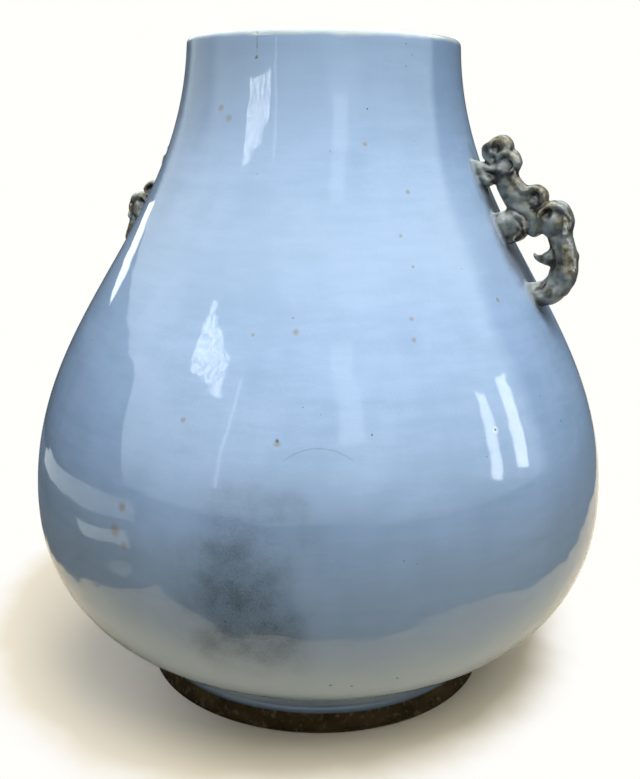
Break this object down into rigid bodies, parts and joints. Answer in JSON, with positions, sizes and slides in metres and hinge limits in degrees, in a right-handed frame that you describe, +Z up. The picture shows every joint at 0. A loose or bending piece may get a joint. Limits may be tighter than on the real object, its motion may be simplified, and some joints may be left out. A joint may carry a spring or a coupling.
{
  "type": "two-handled zun vase",
  "caption": "Tall pear-shaped porcelain vase with a wide mouth, an unglazed foot ring and scrolling openwork handles on the shoulder.",
  "frame": {"origin": "centre of the foot ring, on the surface that the vase stands on", "axes": "+Z up along the vessel's axis of revolution, +X towards the right handle, -X towards the left handle, each turned 3.9 degrees from X towards +Y, the left one set 7 mm lower; -Y is the wider of the two plain sides"},
  "size_m": [0.381, 0.381, 0.42],
  "materials": {
    "body_glaze": "glossy pale sky blue glaze, faintly mottled, with pinholes and small iron specks",
    "lip_glaze": "glossy whitish glaze, thinned at the edge of the lip",
    "handle_glaze": "glossy grey-blue glaze washed with dark brown and ochre iron on ridges, eyes and edges",
    "foot_clay": "matt dark brown bare clay, dressed with a thin iron wash"
  },
  "bodies": {
    "root": {"foot_ring": "foot_clay", "base_disc": "body_glaze", "lower_body": "body_glaze", "upper_body": "body_glaze", "neck": "body_glaze", "lip": "lip_glaze", "right_large_curl": "handle_glaze", "right_arm": "handle_glaze", "right_shoulder_curl": "handle_glaze", "right_crest": "handle_glaze", "right_upper_lug": "handle_glaze", "right_lower_lug": "handle_glaze", "right_tail": "handle_glaze", "right_spur": "handle_glaze", "left_large_curl": "handle_glaze", "left_arm": "handle_glaze", "left_shoulder_curl": "handle_glaze", "left_crest": "handle_glaze", "left_upper_lug": "handle_glaze", "left_lower_lug": "handle_glaze", "left_tail": "handle_glaze", "left_spur": "handle_glaze"}
  },
  "joints": []
}
